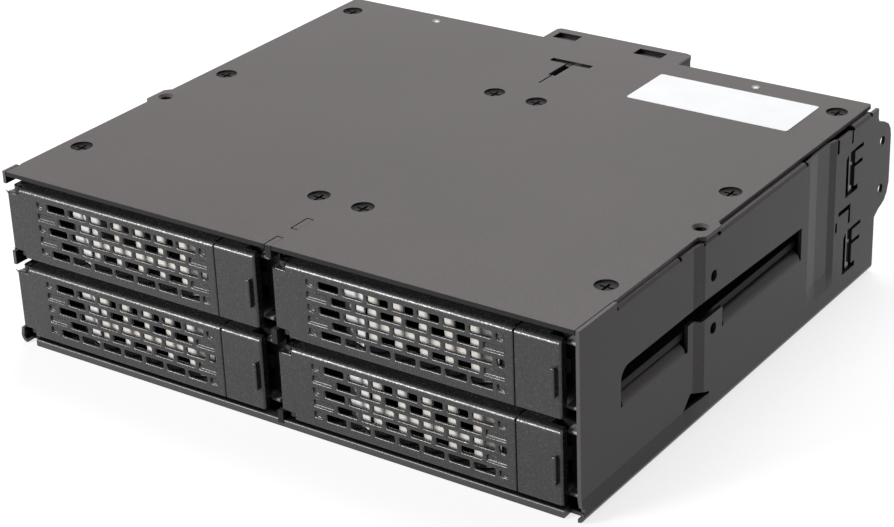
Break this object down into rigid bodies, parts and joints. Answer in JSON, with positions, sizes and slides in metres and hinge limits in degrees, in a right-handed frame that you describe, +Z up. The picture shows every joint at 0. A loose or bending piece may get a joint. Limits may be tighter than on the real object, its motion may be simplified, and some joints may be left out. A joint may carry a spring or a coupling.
{
  "type": "hot swap drive cage",
  "caption": "Sheet metal cage for one half-height 5.25 inch bay, holding 2.5 inch drives on sliding trays with grille ejection levers, backplane and rear fan.",
  "frame": {"origin": "centre of the bounding box seen from above, on its lowest face", "axes": "+X to the right seen from the front, +Y from the front to the rear, +Z up as pictured, with the cover on top"},
  "size_m": [0.146, 0.1352, 0.0416],
  "materials": {
    "chassis_black": "fine satin powder coat, charcoal",
    "face_plastic": "fine sparkle texture, dark grey",
    "plastic_frame": "satin black",
    "plastic_gloss": "smooth black",
    "plastic_white": "smooth ivory nylon",
    "fan_plastic": "moulded black",
    "tray_black": "satin black paint",
    "steel_bright": "bright plated steel",
    "screw_black": "black oxide",
    "circuit_board": "green solder mask",
    "clear_pipe": "clear moulded acrylic"
  },
  "bodies": {
    "chassis": {"side_wall_right": "chassis_black", "side_wall_left": "chassis_black", "bottom_pan": "chassis_black", "top_cover": "chassis_black", "divider_right": "chassis_black", "divider_left": "chassis_black", "cover_screws": "screw_black", "cover_rivets": "steel_bright", "rear_panel": "chassis_black", "backplane_board": "circuit_board", "data_port_1": "plastic_gloss", "data_port_2": "plastic_gloss", "data_port_3": "plastic_gloss", "data_port_4": "plastic_gloss", "power_port_left": "plastic_white", "power_port_right": "plastic_white", "fan_housing": "fan_plastic", "fan_screws": "steel_bright", "drive_plug_lower_left": "plastic_gloss", "drive_plug_lower_right": "plastic_gloss", "drive_plug_upper_left": "plastic_gloss", "drive_plug_upper_right": "plastic_gloss"},
    "tray_lower_left": {"tray_sled_lower_left": "tray_black", "front_frame_lower_left": "plastic_frame", "front_shield_lower_left": "steel_bright", "hinge_pin_lower_left": "steel_bright", "latch_spring_lower_left": "steel_bright", "light_pipe_lower_left": "clear_pipe"},
    "lever_body_lower_left": {"lever_lower_left": "face_plastic"},
    "button_lower_left": {"release_button_lower_left": "face_plastic"},
    "tray_lower_right": {"tray_sled_lower_right": "tray_black", "front_frame_lower_right": "plastic_frame", "front_shield_lower_right": "steel_bright", "hinge_pin_lower_right": "steel_bright", "latch_spring_lower_right": "steel_bright", "light_pipe_lower_right": "clear_pipe"},
    "lever_body_lower_right": {"lever_lower_right": "face_plastic"},
    "button_lower_right": {"release_button_lower_right": "face_plastic"},
    "tray_upper_left": {"tray_sled_upper_left": "tray_black", "front_frame_upper_left": "plastic_frame", "front_shield_upper_left": "steel_bright", "hinge_pin_upper_left": "steel_bright", "latch_spring_upper_left": "steel_bright", "light_pipe_upper_left": "clear_pipe"},
    "lever_body_upper_left": {"lever_upper_left": "face_plastic"},
    "button_upper_left": {"release_button_upper_left": "face_plastic"},
    "tray_upper_right": {"tray_sled_upper_right": "tray_black", "front_frame_upper_right": "plastic_frame", "front_shield_upper_right": "steel_bright", "hinge_pin_upper_right": "steel_bright", "latch_spring_upper_right": "steel_bright", "light_pipe_upper_right": "clear_pipe"},
    "lever_body_upper_right": {"lever_upper_right": "face_plastic"},
    "button_upper_right": {"release_button_upper_right": "face_plastic"},
    "fan_spin_body": {"fan_rotor": "fan_plastic"}
  },
  "joints": [
    {"name": "tray_slide_lower_left", "type": "slide", "parent": "chassis", "child": "tray_lower_left", "axis": [0, -1, 0], "range_m": [0, 0.1]},
    {"name": "lever_hinge_lower_left", "type": "hinge", "parent": "tray_lower_left", "child": "lever_body_lower_left", "pos_m": [-0.06985, -0.06465, 0.01075], "axis": [0, 0, -1], "range_deg": [0, 75]},
    {"name": "button_slide_lower_left", "type": "slide", "parent": "tray_lower_left", "child": "button_lower_left", "axis": [1, 0, 0], "range_m": [0, 0.002], "stiffness_N_per_m": 400, "springref_m": -0.001, "deforming": ["latch_spring_lower_left"]},
    {"name": "tray_slide_lower_right", "type": "slide", "parent": "chassis", "child": "tray_lower_right", "axis": [0, -1, 0], "range_m": [0, 0.1]},
    {"name": "lever_hinge_lower_right", "type": "hinge", "parent": "tray_lower_right", "child": "lever_body_lower_right", "pos_m": [0.00245, -0.06465, 0.01075], "axis": [0, 0, -1], "range_deg": [0, 75]},
    {"name": "button_slide_lower_right", "type": "slide", "parent": "tray_lower_right", "child": "button_lower_right", "axis": [1, 0, 0], "range_m": [0, 0.002], "stiffness_N_per_m": 400, "springref_m": -0.001, "deforming": ["latch_spring_lower_right"]},
    {"name": "tray_slide_upper_left", "type": "slide", "parent": "chassis", "child": "tray_upper_left", "axis": [0, -1, 0], "range_m": [0, 0.1]},
    {"name": "lever_hinge_upper_left", "type": "hinge", "parent": "tray_upper_left", "child": "lever_body_upper_left", "pos_m": [-0.06985, -0.06465, 0.02975], "axis": [0, 0, -1], "range_deg": [0, 75]},
    {"name": "button_slide_upper_left", "type": "slide", "parent": "tray_upper_left", "child": "button_upper_left", "axis": [1, 0, 0], "range_m": [0, 0.002], "stiffness_N_per_m": 400, "springref_m": -0.001, "deforming": ["latch_spring_upper_left"]},
    {"name": "tray_slide_upper_right", "type": "slide", "parent": "chassis", "child": "tray_upper_right", "axis": [0, -1, 0], "range_m": [0, 0.1]},
    {"name": "lever_hinge_upper_right", "type": "hinge", "parent": "tray_upper_right", "child": "lever_body_upper_right", "pos_m": [0.00245, -0.06465, 0.02975], "axis": [0, 0, -1], "range_deg": [0, 75]},
    {"name": "button_slide_upper_right", "type": "slide", "parent": "tray_upper_right", "child": "button_upper_right", "axis": [1, 0, 0], "range_m": [0, 0.002], "stiffness_N_per_m": 400, "springref_m": -0.001, "deforming": ["latch_spring_upper_right"]},
    {"name": "fan_spin", "type": "hinge", "parent": "chassis", "child": "fan_spin_body", "pos_m": [0.0016, 0.06145, 0.02025], "axis": [0, 1, 0], "continuous": true}
  ]
}
